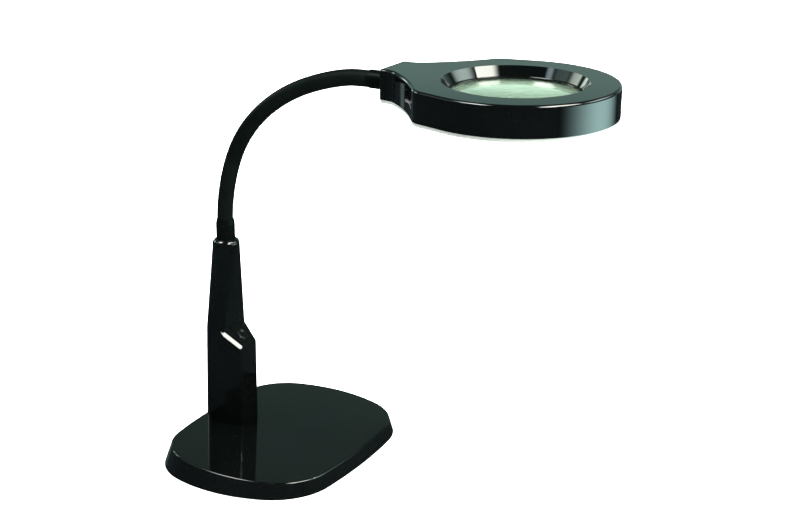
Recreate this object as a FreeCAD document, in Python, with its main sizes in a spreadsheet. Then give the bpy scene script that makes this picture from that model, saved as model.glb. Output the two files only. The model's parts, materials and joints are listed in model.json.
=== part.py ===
import FreeCAD, Part
import math
import os

import Sketcher
from FreeCAD import Placement, Rotation, Vector

# Desk magnifying lamp: a weighted base, a hollow post with a push switch, a gooseneck and a
# ring-shaped head with a lens and a ring of LEDs. Millimetres, +Z up. The origin is the centre of
# the base on the table; +X runs from the post towards the head.

doc = FreeCAD.newDocument("magnifying_lamp")
sheet = doc.addObject("Spreadsheet::Sheet", "dims")

DIMENSIONS = {
    # base
    "base_half_length": 84.9, "base_half_width": 110.3, "side_bulge": 528.0, "end_bulge": 134.0,
    "base_corner": 56.5, "base_top": 16.7, "base_slope": 2.29, "base_draft": 17.2,
    "base_wall": 2.5, "base_edge": 1.4, "rim_height": 0.5, "skirt_depth": 30.0,
    "pad_thick": 1.2, "floor_thick": 2.0, "floor_inset": 4.6, "pad_inset": 9.0,
    "ballast_thick": 7.0, "ballast_length": 100.0, "ballast_width": 140.0, "ballast_x": 16.0,
    "boss_across": 74.0, "boss_along": 58.0, "boss_radius": 4.2,
    # post
    "post_x": -55.2, "post_foot": 14.0, "shoulder": 109.0, "neck_seat": 185.1, "post_top": 192.1,
    "post_side": 18.5, "post_nose": 12.8, "nose_x": -33.8, "brow_x": -48.9, "back_low": -73.8,
    "back_high": -70.4, "post_radius": 12.3, "post_wall": 2.0, "crown": 4.6, "split_x": -64.6,
    "facet_low": 95.0, "facet_high": 107.8, "facet_bevel": 1.4, "facet_edge": 0.3,
    "collar_radius": 8.5,
    "button_radius": 5.4, "button_proud": 1.6,
    # gooseneck
    "sleeve_radius": 7.15, "coil_radius": 5.8, "coil_bore": 3.2, "neck_gap": 2.2,
    "neck_pitch": 28.65, "neck_start": 210.0,
    # head
    "head_yaw": -2.42, "head_pitch": 0.95, "head_roll": 1.1, "head_reach": 132.9,
    "ring_radius": 82.5, "neck_end": 112.7, "neck_half": 19.8, "head_height": 25.0,
    "neck_hollow": 19.0, "flank_hollow": 182.0, "horn_radius": 22.7,
    "head_wall": 2.2, "head_edge": 2.4, "rim_radius": 58.2, "bezel_foot": 53.6,
    "bezel_depth": 8.0, "lens_radius": 53.2, "lens_seen": 51.0, "lens_edge": 3.0,
    "lens_bulge": 346.0, "seat_depth": 9.6, "cuff_radius": 61.0, "cover_height": 3.0,
    "cover_plate": 2.0, "well_radius": 57.0, "board_inner": 62.6, "board_outer": 71.6,
    "board_depth": 19.4, "board_thick": 1.6, "led_circle": 67.0,
}
for row, (alias, value) in enumerate(DIMENSIONS.items(), start=1):
    sheet.set(f"A{row}", alias)
    sheet.set(f"B{row}", str(value))
    sheet.setAlias(f"B{row}", alias)
doc.recompute()


def dim(alias):
    """A driving dimension, as a number."""
    return float(getattr(sheet, alias))


FREE_FIT = 0.3      # clearance between neighbouring pieces
SHANK_FIT = 0.06    # radial clearance of a screw in its hole
UP = Vector(0, 0, 1)
nodes = []


def finish_node(obj, label, placement=None):
    """Names a finished sub-part and puts it in its place."""
    obj.Label = label
    if placement is not None:
        obj.Placement = placement
    nodes.append(obj)
    return obj


# ---------------------------------------------------------------- sketches and bodies

def new_body(name):
    return doc.addObject("PartDesign::Body", name + "_body")


def new_sketch(body, name, role="XY_Plane", height=0.0, height_from=None):
    """A sketch on one of the body's own origin planes, lifted along the plane's normal."""
    sketch = body.newObject("Sketcher::SketchObject", name)
    plane = [item for item in body.Origin.OriginFeatures if item.Role == role][0]
    sketch.AttachmentSupport = (plane, [""])
    sketch.MapMode = "FlatFace"
    sketch.AttachmentOffset = Placement(Vector(0, 0, height), Rotation())
    if height_from:
        sketch.setExpression(".AttachmentOffset.Base.z", height_from)
    return sketch


def level_sketch(body, name, height):
    """A sketch in a body that will be tilted with the base's top, but drawn level in the lamp's frame."""
    sketch = new_sketch(body, name)
    sketch.AttachmentOffset = BASE_FRAME.inverse().multiply(Placement(Vector(0, 0, height), Rotation()))
    return sketch


def draw_circle(sketch, radius_from, x=0.0, y=0.0):
    """A circle whose radius is bound to the sheet."""
    index = sketch.addGeometry(Part.Circle(Vector(x, y, 0), UP, 5.0), False)
    rule = sketch.addConstraint(Sketcher.Constraint("Radius", index, 5.0))
    sketch.setExpression(f"Constraints[{rule}]", radius_from)
    sketch.addConstraint(Sketcher.Constraint("DistanceX", -1, 1, index, 3, x))
    sketch.addConstraint(Sketcher.Constraint("DistanceY", -1, 1, index, 3, y))


def draw_outline(sketch, pieces):
    """Lines (two points) and arcs (three points) in the sketch's own plane."""
    for piece in pieces:
        points = [Vector(x, y, 0) for x, y in piece]
        if len(points) == 2:
            sketch.addGeometry(Part.LineSegment(*points), False)
        else:
            sketch.addGeometry(Part.Arc(*points), False)


def polygon(points):
    return [(points[i], points[(i + 1) % len(points)]) for i in range(len(points))]


def pad(body, sketch, length_from, down=False, name="pad"):
    feature = body.newObject("PartDesign::Pad", name)
    feature.Profile = sketch
    feature.setExpression("Length", length_from)
    feature.Reversed = down
    doc.recompute()
    return feature


def pocket(body, sketch, length_from=None, flip=False, midplane=False, name="pocket"):
    """Cuts a pocket and makes sure that it removed material."""
    before = body.Shape.Volume
    feature = body.newObject("PartDesign::Pocket", name)
    feature.Profile = sketch
    if length_from:
        feature.setExpression("Length", length_from)
    else:
        feature.Type = "ThroughAll"
    feature.Midplane = midplane
    feature.Reversed = flip
    doc.recompute()
    if not body.Shape.Volume < before - 0.01:
        raise RuntimeError(f"{body.Label}: {name} cuts nothing")
    return feature


def revolve(body, sketch, kind="PartDesign::Revolution", angle=360.0, axis=None, name="turn"):
    """Turns a profile; a groove has to remove material."""
    before = body.Shape.Volume if kind == "PartDesign::Groove" else None
    feature = body.newObject(kind, name)
    feature.Profile = sketch
    feature.ReferenceAxis = axis or (sketch, ["V_Axis"])
    feature.Angle = angle
    doc.recompute()
    if before is not None and not body.Shape.Volume < before - 0.01:
        raise RuntimeError(f"{body.Label}: {name} cuts nothing")
    return feature


def loft(body, lower, upper, cut=False, name="loft"):
    kind = "PartDesign::SubtractiveLoft" if cut else "PartDesign::AdditiveLoft"
    feature = body.newObject(kind, name)
    feature.Profile = lower
    feature.Sections = [upper]
    feature.Ruled = True
    doc.recompute()
    return feature


def fillet_edges(body, wanted, radius_from, name="fillet"):
    """Rounds the edges of the tip that pass the test."""
    tip = body.Tip
    edges = [f"Edge{i + 1}" for i, edge in enumerate(tip.Shape.Edges) if wanted(edge)]
    feature = body.newObject("PartDesign::Fillet", name)
    feature.Base = (tip, edges)
    feature.setExpression("Radius", radius_from)
    doc.recompute()
    return feature


def level_edge(z, slack=0.01):
    """A test for edges that lie flat at one height."""
    return lambda edge: abs(edge.BoundBox.ZMin - z) < slack and abs(edge.BoundBox.ZMax - z) < slack


# ---------------------------------------------------------------- Part booleans and screws

def boolean(kind, name, base, tool):
    obj = doc.addObject(f"Part::{kind}", name)
    obj.Base = base
    obj.Tool = tool
    return obj


def fuse_all(name, shapes):
    obj = doc.addObject("Part::MultiFuse", name)
    obj.Shapes = shapes
    return obj


def cylinder(name, radius, height, at, direction=UP):
    """A cylinder from a point along a direction; sizes are numbers or sheet expressions."""
    obj = doc.addObject("Part::Cylinder", name)
    for prop, value in (("Radius", radius), ("Height", height)):
        if isinstance(value, str):
            obj.setExpression(prop, value)
        else:
            setattr(obj, prop, value)
    obj.Placement = Placement(Vector(*at), Rotation(UP, Vector(*direction)))
    return obj


def box(name, low, high):
    obj = doc.addObject("Part::Box", name)
    obj.Length, obj.Width, obj.Height = [b - a for a, b in zip(low, high)]
    obj.Placement = Placement(Vector(*low), Rotation())
    return obj


def screw(name, head_at, direction, shank, length, head, head_height, countersunk):
    """One cross-head screw: head_at is the centre of the head's outer face."""
    turn = Rotation(UP, Vector(*direction))
    start = Vector(*head_at)
    if countersunk:
        top = doc.addObject("Part::Cone", name + "_head")
        top.Radius1, top.Radius2, top.Height = head, shank, head_height
    else:
        top = doc.addObject("Part::Cylinder", name + "_head")
        top.Radius, top.Height = head, head_height
    top.Placement = Placement(start, turn)
    rod = doc.addObject("Part::Cylinder", name + "_shank")
    rod.Radius, rod.Height = shank, length
    rod.Placement = Placement(start, turn)
    whole = fuse_all(name + "_whole", [top, rod])
    slots = []
    for i, angle in enumerate((45, 135)):
        slot = doc.addObject("Part::Box", f"{name}_slot{i}")
        slot.Length, slot.Width, slot.Height = 1.3 * head, 0.22 * head, 0.5 * head_height
        spin = turn.multiply(Rotation(UP, angle))
        corner = spin.multVec(Vector(-0.65 * head, -0.11 * head, -0.01))
        slot.Placement = Placement(start + corner, spin)
        slots.append(slot)
    return boolean("Cut", name + "_cut", whole, fuse_all(name + "_cross", slots))


def screw_group(label, spots, direction, shank, length, head, head_height, countersunk=False,
                placement=None):
    """Identical screws in one node."""
    made = [screw(f"{label}_{i}", spot, direction, shank, length, head, head_height, countersunk)
            for i, spot in enumerate(spots)]
    group = doc.addObject("Part::Compound", label)
    group.Links = made
    return finish_node(group, label, placement)


# ---------------------------------------------------------------- base

SLOPE = math.radians(dim("base_slope"))
BASE_FRAME = Placement(Vector(dim("base_top") * math.tan(SLOPE), 0, dim("base_top")),
                       Rotation(Vector(0, 1, 0), dim("base_slope")))


def bulged_rectangle(inset):
    """Four bulging sides joined by round corners, all tangent, as eight arcs."""
    half_x = dim("base_half_length") - inset
    half_y = dim("base_half_width") - inset
    side = dim("side_bulge") - inset
    end = dim("end_bulge") - inset
    corner = dim("base_corner") - inset
    side_centre = half_x - side
    end_centre = half_y - end
    # the corner's centre is (side - corner) from one bulge's centre and (end - corner) from the other's
    across = math.hypot(side_centre, end_centre)
    near = side - corner
    far = end - corner
    along = (near ** 2 - far ** 2 + across ** 2) / (2 * across)
    off = math.sqrt(near ** 2 - along ** 2)
    ux, uy = -side_centre / across, end_centre / across
    cx = side_centre + along * ux - off * uy
    cy = along * uy + off * ux
    to_side = math.atan2(cy, cx - side_centre)
    to_end = math.atan2(cy - end_centre, cx)
    middle = (to_side + to_end) / 2

    def at(angle):
        return cx + corner * math.cos(angle), cy + corner * math.sin(angle)

    sx, sy = at(to_side)
    ex, ey = at(to_end)
    mx, my = at(middle)
    quarter = [((sx, sy), (mx, my), (ex, ey))]
    pieces = [((sx, -sy), (half_x, 0), (sx, sy))] + quarter
    pieces.append(((ex, ey), (0, half_y), (-ex, ey)))
    pieces.append(((-ex, ey), (-mx, my), (-sx, sy)))
    pieces.append(((-sx, sy), (-half_x, 0), (-sx, -sy)))
    pieces.append(((-sx, -sy), (-mx, -my), (-ex, -ey)))
    pieces.append(((-ex, -ey), (0, -half_y), (ex, -ey)))
    pieces.append(((ex, -ey), (mx, -my), (sx, -sy)))
    return pieces


DRAFT = math.tan(math.radians(dim("base_draft")))
SEEN_TOP_INSET = dim("base_top") * DRAFT      # the skirt's foot meets the stated half sizes


def skirt_inset(depth):
    """How far the draft brings the skirt in, at a depth below the top plate."""
    return SEEN_TOP_INSET - depth * DRAFT


def flat_plate(label, height, thickness_from, inset, holes=()):
    """A plate that follows the base's outline, with round holes (radius expression, x, y)."""
    body = new_body(label)
    sketch = new_sketch(body, label + "_outline", height=height)
    draw_outline(sketch, bulged_rectangle(inset))
    pad(body, sketch, thickness_from)
    if holes:
        drill = new_sketch(body, label + "_holes", height=height)
        for radius, x, y in holes:
            draw_circle(drill, radius, x, y)
        pocket(body, drill, flip=True, name="holes")
    return finish_node(body, label)


BOSS_SPOTS = [(x, y) for x in (-dim("boss_along"), dim("boss_along"))
              for y in (-dim("boss_across"), dim("boss_across"))]
BALLAST_SPOTS = [(dim("ballast_x") + x, y) for x in (-40, 40) for y in (-50, 50)]
FOOT_SPOTS = [(-55.0, 0.0), (-45.0, 0.0)]
JACK_HEIGHT = 10.0
JACK_BARREL = 4.0
JACK_DROP = (dim("base_half_length") - 4.0) * math.sin(SLOPE)     # the slope's rise at the inlet
CABLE_SLOT = ((-71.0, -46.0), 12.0)           # along X, and half its width


def make_base_cover():
    body = new_body("base_cover")
    depth = dim("skirt_depth")
    wall = dim("base_wall")
    top = new_sketch(body, "cover_top")
    draw_outline(top, bulged_rectangle(skirt_inset(0)))
    foot = new_sketch(body, "cover_foot", height=-depth, height_from="-dims.skirt_depth")
    draw_outline(foot, bulged_rectangle(skirt_inset(depth)))
    loft(body, top, foot, name="skirt")
    fillet_edges(body, level_edge(0.0), "dims.base_edge", "top_edge")
    ceiling = new_sketch(body, "cavity_top", height=-wall, height_from="-dims.base_wall")
    draw_outline(ceiling, bulged_rectangle(skirt_inset(wall) + wall))
    mouth = new_sketch(body, "cavity_mouth", height=-depth - 1)
    draw_outline(mouth, bulged_rectangle(skirt_inset(depth + 1) + wall))
    loft(body, ceiling, mouth, cut=True, name="cavity")
    # everything below the rim goes, on the table's level rather than the top plate's slope
    level = new_sketch(body, "rim_level", role="XZ_Plane")

    def rim_z(x, height):
        return (height - dim("base_top") + x * math.sin(SLOPE)) / math.cos(SLOPE)

    rim = dim("rim_height")
    reach = 140.0
    draw_outline(level, polygon([(-reach, rim_z(-reach, rim)), (reach, rim_z(reach, rim)),
                                 (reach, -3 * depth), (-reach, -3 * depth)]))
    pocket(body, level, midplane=True, name="rim_cut")
    # screw bosses hang from the top plate and stop just above the floor plate
    floor_top = dim("pad_thick") + dim("floor_thick") + 0.05
    for end in (-1, 1):
        x = end * dim("boss_along")
        bosses = level_sketch(body, "bosses", floor_top)
        for y in (-dim("boss_across"), dim("boss_across")):
            draw_circle(bosses, "dims.boss_radius", x, y)
        ceiling_height = dim("base_top") - x * math.tan(SLOPE) - wall
        pad(body, bosses, f"{ceiling_height + 1.0 - floor_top}", name="bosses")
    pilots = level_sketch(body, "pilots", floor_top)
    for x, y in BOSS_SPOTS:
        draw_circle(pilots, f"{1.45 + SHANK_FIT}", x, y)
    pocket(body, pilots, "6", flip=True, name="pilots")
    slot = new_sketch(body, "post_opening")
    (low, high), half = CABLE_SLOT
    draw_outline(slot, polygon([(low, -half), (high, -half), (high, half), (low, half)]))
    pocket(body, slot, "10", name="post_opening")
    jack = new_sketch(body, "jack_hole", role="YZ_Plane", height=-120.0)
    draw_circle(jack, f"{JACK_BARREL + FREE_FIT}", 0.0, JACK_HEIGHT - dim("base_top") - JACK_DROP)
    pocket(body, jack, "52", flip=True, name="jack_hole")
    return finish_node(body, "base_cover", BASE_FRAME)


def make_ballast():
    body = new_body("ballast")
    z = dim("pad_thick") + dim("floor_thick") + 0.02
    sketch = new_sketch(body, "ballast_outline", height=z)
    x0 = dim("ballast_x") - dim("ballast_length") / 2
    x1 = dim("ballast_x") + dim("ballast_length") / 2
    half = dim("ballast_width") / 2
    cut = 22.0
    draw_outline(sketch, polygon([(x0, -half), (x1 - cut, -half), (x1, cut - half), (x1, half - cut),
                                  (x1 - cut, half), (x0, half)]))
    pad(body, sketch, "dims.ballast_thick")
    holes = new_sketch(body, "ballast_holes", height=z)
    for x, y in BALLAST_SPOTS:
        draw_circle(holes, f"{2.0 + SHANK_FIT}", x, y)
    pocket(body, holes, flip=True, name="holes")
    return finish_node(body, "base_ballast")


def make_base():
    make_base_cover()
    pad_top = dim("pad_thick")
    floor_holes = [(f"{1.45 + SHANK_FIT}", x, y) for x, y in BOSS_SPOTS]
    floor_holes += [(f"{2.0 + SHANK_FIT}", x, y) for x, y in BALLAST_SPOTS + FOOT_SPOTS]
    pad_holes = [("3.4", x, y) for x, y in BOSS_SPOTS]
    pad_holes += [("4.4", x, y) for x, y in BALLAST_SPOTS + FOOT_SPOTS]
    flat_plate("base_floor", pad_top, "dims.floor_thick", dim("floor_inset"), floor_holes)
    flat_plate("base_pad", 0.0, "dims.pad_thick", dim("pad_inset"), pad_holes)
    make_ballast()
    head_face = 0.25
    head_height = pad_top - head_face - 0.02
    screw_group("floor_screws", [(x, y, head_face) for x, y in BOSS_SPOTS], UP, 1.45, 8.0, 3.0,
                head_height)
    screw_group("ballast_screws", [(x, y, head_face) for x, y in BALLAST_SPOTS], UP, 2.0, 8.0, 4.0,
                head_height)
    screw_group("foot_screws", [(x, y, head_face) for x, y in FOOT_SPOTS], UP, 2.0, 6.4, 4.0,
                head_height)


def make_jack():
    """The low-voltage inlet: a moulded block with a barrel that looks out of the back wall."""
    back = -(dim("base_half_length") - JACK_HEIGHT * DRAFT) - 0.2
    block = box("jack_block", (back + 4.2, -4.6, JACK_HEIGHT - 5.0), (back + 16.0, 4.6, JACK_HEIGHT + 5.0))
    barrel = cylinder("jack_barrel", JACK_BARREL, 8.0, (back, 0, JACK_HEIGHT), (1, 0, 0))
    bore = cylinder("jack_bore", 2.75, 9.5, (back - 0.5, 0, JACK_HEIGHT), (1, 0, 0))
    shell = boolean("Cut", "jack_shell", fuse_all("jack_solid", [block, barrel]), bore)
    pin = cylinder("jack_pin", 1.0, 9.0, (back + 1.0, 0, JACK_HEIGHT), (1, 0, 0))
    finish_node(fuse_all("jack_joined", [shell, pin]), "dc_jack")


# ---------------------------------------------------------------- post

FACET_ANGLE = math.atan2(dim("facet_high") - dim("facet_low"), dim("nose_x") - dim("brow_x"))
FACET_NORMAL = Vector(math.sin(FACET_ANGLE), 0, math.cos(FACET_ANGLE))
FACET_CENTRE = Vector((dim("nose_x") + dim("brow_x")) / 2, 0,
                      (dim("facet_low") + dim("facet_high")) / 2)


def post_section(back, front, brow, side, nose, back_round, nose_round):
    """The post's plan: round back corners, parallel sides, then sides that close on the nose."""
    def corner(p, before, after, radius):
        """The arc that rounds corner p, as three points."""
        a = Vector(before[0] - p[0], before[1] - p[1], 0).normalize()
        b = Vector(after[0] - p[0], after[1] - p[1], 0).normalize()
        half = a.getAngle(b) / 2
        run = radius / math.tan(half)
        middle = (a + b).normalize() * (radius / math.sin(half) - radius)
        v = Vector(p[0], p[1], 0)
        return [(q.x, q.y) for q in (v + a * run, v + middle, v + b * run)]

    corners = [((back, -side), back_round), ((brow, -side), 4.0), ((front, -nose), nose_round),
               ((front, nose), nose_round), ((brow, side), 4.0), ((back, side), back_round)]
    count = len(corners)
    arcs = [corner(corners[i][0], corners[i - 1][0], corners[(i + 1) % count][0], corners[i][1])
            for i in range(count)]
    pieces = []
    for i, arc in enumerate(arcs):
        pieces.append(tuple(arc))
        pieces.append((arc[2], arcs[(i + 1) % count][0]))
    return pieces


def square_section(back, front, side, back_round, front_round):
    """The post's plan at its shoulder, in eight pieces that match the round section above it."""
    b, f, s = back, front, side
    k = 1 - math.sqrt(0.5)

    def arc(x, y, sx, sy, r, first_x):
        along = (x - sx * r, y)
        up = (x, y - sy * r)
        mid = (x - sx * r * k, y - sy * r * k)
        return (along, mid, up) if first_x else (up, mid, along)

    arcs = [arc(f, -s, 1, -1, front_round, True), arc(f, s, 1, 1, front_round, False),
            arc(b, s, -1, 1, back_round, True), arc(b, -s, -1, -1, back_round, False)]
    pieces = []
    for i, piece in enumerate(arcs):
        pieces.append(piece)
        pieces.append((piece[2], arcs[(i + 1) % 4][0]))
    return pieces


def round_section(radius):
    """A circle about the post's axis in eight arcs."""
    x = dim("post_x")
    wide, narrow = math.radians(62), math.radians(28)
    cuts = [-wide, -narrow, narrow, wide, math.pi - wide, math.pi - narrow, math.pi + narrow, math.pi + wide]
    pieces = []
    for i, start in enumerate(cuts):
        end = cuts[(i + 1) % 8]
        if end < start:
            end += 2 * math.pi
        pieces.append(tuple((x + radius * math.cos(a), radius * math.sin(a))
                            for a in (start, (start + end) / 2, end)))
    return pieces


def section_at(name, z, pieces, height_from=None):
    sketch = doc.addObject("Sketcher::SketchObject", name)
    sketch.Placement = Placement(Vector(0, 0, z), Rotation())
    if height_from:
        sketch.setExpression(".Placement.Base.z", height_from)
    draw_outline(sketch, pieces)
    return sketch


def ruled_loft(name, sections):
    obj = doc.addObject("Part::Loft", name)
    obj.Sections = sections
    obj.Solid = True
    obj.Ruled = True
    return obj


def half_space(name, point, normal, size=300.0):
    """A large block on the far side of a plane."""
    obj = doc.addObject("Part::Box", name)
    obj.Length = obj.Width = obj.Height = size
    turn = Rotation(UP, normal)
    obj.Placement = Placement(point + turn.multVec(Vector(-size / 2, -size / 2, 0)), turn)
    return obj


def soften_facet(name, solid):
    """Bevels the facet's two sides and breaks its lower edge."""
    level = Vector(1, 0, 0)
    side_y = (dim("post_side") + dim("post_nose")) / 2
    bevels = [(FACET_NORMAL + level, Vector(dim("nose_x"), 0, dim("facet_low")), dim("facet_edge"))]
    for side in (-1, 1):
        wall = Vector(dim("post_side") - dim("post_nose"), side * (dim("nose_x") - dim("brow_x")), 0)
        edge = Vector(FACET_CENTRE.x, side * side_y, FACET_CENTRE.z)
        bevels.append((FACET_NORMAL + wall.normalize(), edge, dim("facet_bevel")))
    for i, (normal, edge, depth) in enumerate(bevels):
        normal.normalize()
        plane = half_space(f"{name}_plane_{i}", edge - normal * depth, normal)
        solid = boolean("Cut", f"{name}_{i}", solid, plane)
    return solid


NOSE_LEAN = 0.8             # how far the nose's foot stands back from its top


def post_solid(name, inset):
    """The post as a solid, or with an inset the hollow inside it."""
    shoulder = dim("shoulder")
    seat = dim("neck_seat")
    side, nose = dim("post_side") - inset, dim("post_nose") - inset
    front = dim("nose_x") - inset
    brow = dim("brow_x") - inset * 0.4
    back_round = 7.5 - inset
    nose_round = 2.6 - inset * 0.5
    low = section_at(name + "_low", dim("post_foot"),
                     post_section(dim("back_low") + inset, front - NOSE_LEAN, brow, side, nose, back_round,
                                  nose_round), "dims.post_foot")
    high = section_at(name + "_high", shoulder,
                      post_section(dim("back_high") + inset, front, brow, side, nose, back_round,
                                   nose_round), "dims.shoulder")
    lower = ruled_loft(name + "_lower", [low, high])
    facet = half_space(name + "_facet", FACET_CENTRE - FACET_NORMAL * inset, FACET_NORMAL)
    lower = boolean("Cut", name + "_faced", lower, facet)
    if inset == 0:
        lower = soften_facet(name + "_softened", lower)
    collar = section_at(name + "_collar", shoulder - 12.0,
                        square_section(dim("back_high") + inset, dim("brow_x") - inset, side, back_round,
                                       3.4 - inset * 0.5), "dims.shoulder - 12")
    square = section_at(name + "_square", shoulder,
                        square_section(dim("back_high") + inset, dim("brow_x") - inset, side, back_round,
                                       3.4 - inset * 0.5), "dims.shoulder")
    ring = section_at(name + "_round", seat, round_section(dim("post_radius") - inset), "dims.neck_seat")
    stem = ruled_loft(name + "_stem", [collar, square])
    upper = ruled_loft(name + "_upper", [square, ring])
    tip = cylinder(name + "_tip", dim("post_radius") - inset, dim("post_top") - seat - inset,
                   (dim("post_x"), 0, seat))
    return fuse_all(name, [lower, stem, upper, tip])


def make_post_shells():
    outer = post_solid("post_outer", 0.0)
    doc.recompute()
    crown = doc.addObject("Part::Fillet", "post_crown")
    crown.Base = outer
    top = dim("post_top")
    rounded = [(i + 1, dim("crown"), dim("crown")) for i, edge in enumerate(outer.Shape.Edges)
               if edge.BoundBox.ZMin > top - 0.01]
    crown.Edges = rounded
    inner = post_solid("post_inner", dim("post_wall"))
    hollow = boolean("Cut", "post_hollow", crown, inner)
    # the foot is cut to the slope of the base's top plate
    slope_normal = Vector(-math.sin(SLOPE), 0, -math.cos(SLOPE))
    foot_point = BASE_FRAME.Base + Vector(0, 0, 0.03)
    foot = half_space("post_foot_cut", foot_point, slope_normal)
    collar_bore = cylinder("post_collar_bore", dim("collar_radius") + FREE_FIT, 30.0,
                           (dim("post_x"), 0, dim("neck_seat") - 10))
    button_bore = cylinder("post_button_bore", dim("button_radius") + FREE_FIT, 12.0,
                           tuple(FACET_CENTRE - FACET_NORMAL * 6.0), tuple(FACET_NORMAL))
    tools = fuse_all("post_tools", [foot, collar_bore, button_bore])
    shell = boolean("Cut", "post_shell", hollow, tools)
    split = dim("split_x")
    seam = 0.1
    front_side = half_space("front_side", Vector(split + seam, 0, 100), Vector(1, 0, 0))
    back_side = half_space("back_side", Vector(split - seam, 0, 100), Vector(-1, 0, 0))
    front = boolean("Common", "post_front", shell, front_side)
    back = boolean("Common", "post_back", shell, back_side)
    # four short bosses carry the screws that close the shell from behind
    spots = [(y, z) for z in POST_SCREW_HEIGHTS for y in (-POST_SCREW_Y, POST_SCREW_Y)]
    bosses = [cylinder(f"post_boss_{i}", 2.6, 9.0, (split + seam, y, z), (1, 0, 0))
              for i, (y, z) in enumerate(spots)]
    pilots = [cylinder(f"post_pilot_{i}", 1.2 + SHANK_FIT, 12.0, (split - 1.0, y, z), (1, 0, 0))
              for i, (y, z) in enumerate(spots)]
    # a web joins each boss to the middle of the side wall
    reach = (dim("post_side") - dim("post_wall") / 2) / POST_SCREW_Y
    webs = [box(f"post_web_{i}", (split + seam, min(y, y * reach), z - 1.2),
                (split + seam + 9.0, max(y, y * reach), z + 1.2)) for i, (y, z) in enumerate(spots)]
    webbed = boolean("Common", "post_webs", fuse_all("post_boss_set", bosses + webs), crown)
    front = boolean("Cut", "post_front_drilled", fuse_all("post_front_bossed", [front, webbed]),
                    fuse_all("post_pilot_set", pilots))
    finish_node(front, "post_front_shell")
    through = [cylinder(f"post_through_{i}", 1.2 + SHANK_FIT, 30.0, (split - 20.0, y, z), (1, 0, 0))
               for i, (y, z) in enumerate(spots)]
    counter = [cylinder(f"post_counter_{i}", 2.5, 31.6, (split - 33.0, y, z), (1, 0, 0))
               for i, (y, z) in enumerate(spots)]
    pads = [cylinder(f"post_lug_{i}", 3.2, 4.2, (split - seam - 4.2, y, z), (1, 0, 0))
            for i, (y, z) in enumerate(spots)]
    lugs = boolean("Common", "post_lugs", fuse_all("post_lug_set", pads), crown)
    back = boolean("Cut", "post_back_drilled", fuse_all("post_back_lugged", [back, lugs]),
                   fuse_all("post_bores", through + counter))
    finish_node(back, "post_rear_shell")
    screw_group("post_screws", [(split - 2.95, y, z) for y, z in spots], (1, 0, 0), 1.2, 10.0, 2.2, 1.5)


POST_SCREW_HEIGHTS = (36.0, 84.0)
POST_SCREW_Y = 12.2
SPINE_BACK = -63.2
SPINE_THICK = 2.4


def make_spine():
    """The steel strip that carries the load from the gooseneck's socket down to the floor plate."""
    body = new_body("spine")
    z0 = dim("pad_thick") + dim("floor_thick") + 0.02
    profile = new_sketch(body, "spine_profile", role="XZ_Plane")
    x0, x1 = SPINE_BACK, SPINE_BACK + SPINE_THICK
    foot_end = -40.0
    draw_outline(profile, polygon([(x0, z0), (foot_end, z0), (foot_end, z0 + SPINE_THICK),
                                   (x1, z0 + SPINE_THICK), (x1, SOCKET_FOOT + SPINE_OVERLAP),
                                   (x0, SOCKET_FOOT + SPINE_OVERLAP)]))
    strip = body.newObject("PartDesign::Pad", "strip")
    strip.Profile = profile
    strip.Length = 13.0
    strip.Midplane = True
    doc.recompute()
    holes = new_sketch(body, "foot_holes", height=z0)
    for x, y in FOOT_SPOTS:
        draw_circle(holes, f"{2.0 + SHANK_FIT}", x, y)
    pocket(body, holes, f"{SPINE_THICK + 1}", flip=True, name="foot_holes")
    sides = new_sketch(body, "socket_holes", role="YZ_Plane", height=SPINE_BACK)
    for z in SPINE_SCREW_HEIGHTS:
        draw_circle(sides, f"{1.45 + SHANK_FIT}", 0.0, z)
    pocket(body, sides, "5", flip=True, name="socket_holes")
    return finish_node(body, "post_spine")


SOCKET_FOOT = 158.0
SPINE_OVERLAP = 14.0        # how far the spine runs up beside the socket
SPINE_SCREW_HEIGHTS = (161.5, 168.5)


def make_socket():
    """The cast block at the top of the spine that grips the gooseneck's coil."""
    x = dim("post_x")
    block = cylinder("socket_block", 6.9, dim("post_top") - 5.5 - SOCKET_FOOT, (x, 0, SOCKET_FOOT))
    z0, z1 = SOCKET_FOOT - 1, SOCKET_FOOT + SPINE_OVERLAP + 0.3
    back = box("socket_back", (x - 20, -20, z0), (SPINE_BACK + SPINE_THICK + 0.02, 20, z1))
    front = box("socket_front", (x + 6.0, -20, z0), (x + 20, 20, z1))
    bore = cylinder("socket_bore", f"dims.coil_radius + {SHANK_FIT}", 30.0, (x, 0, z1 + 1.0))
    pilots = [cylinder(f"socket_pilot_{i}", 1.45 + SHANK_FIT, 9.0, (SPINE_BACK, 0, z), (1, 0, 0))
              for i, z in enumerate(SPINE_SCREW_HEIGHTS)]
    tools = fuse_all("socket_tools", [back, front, bore] + pilots)
    finish_node(boolean("Cut", "socket_cut", block, tools), "neck_socket")
    screw_group("spine_screws", [(SPINE_BACK - 1.62, 0, z) for z in SPINE_SCREW_HEIGHTS], (1, 0, 0),
                1.45, 8.0, 2.6, 1.6)


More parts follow.
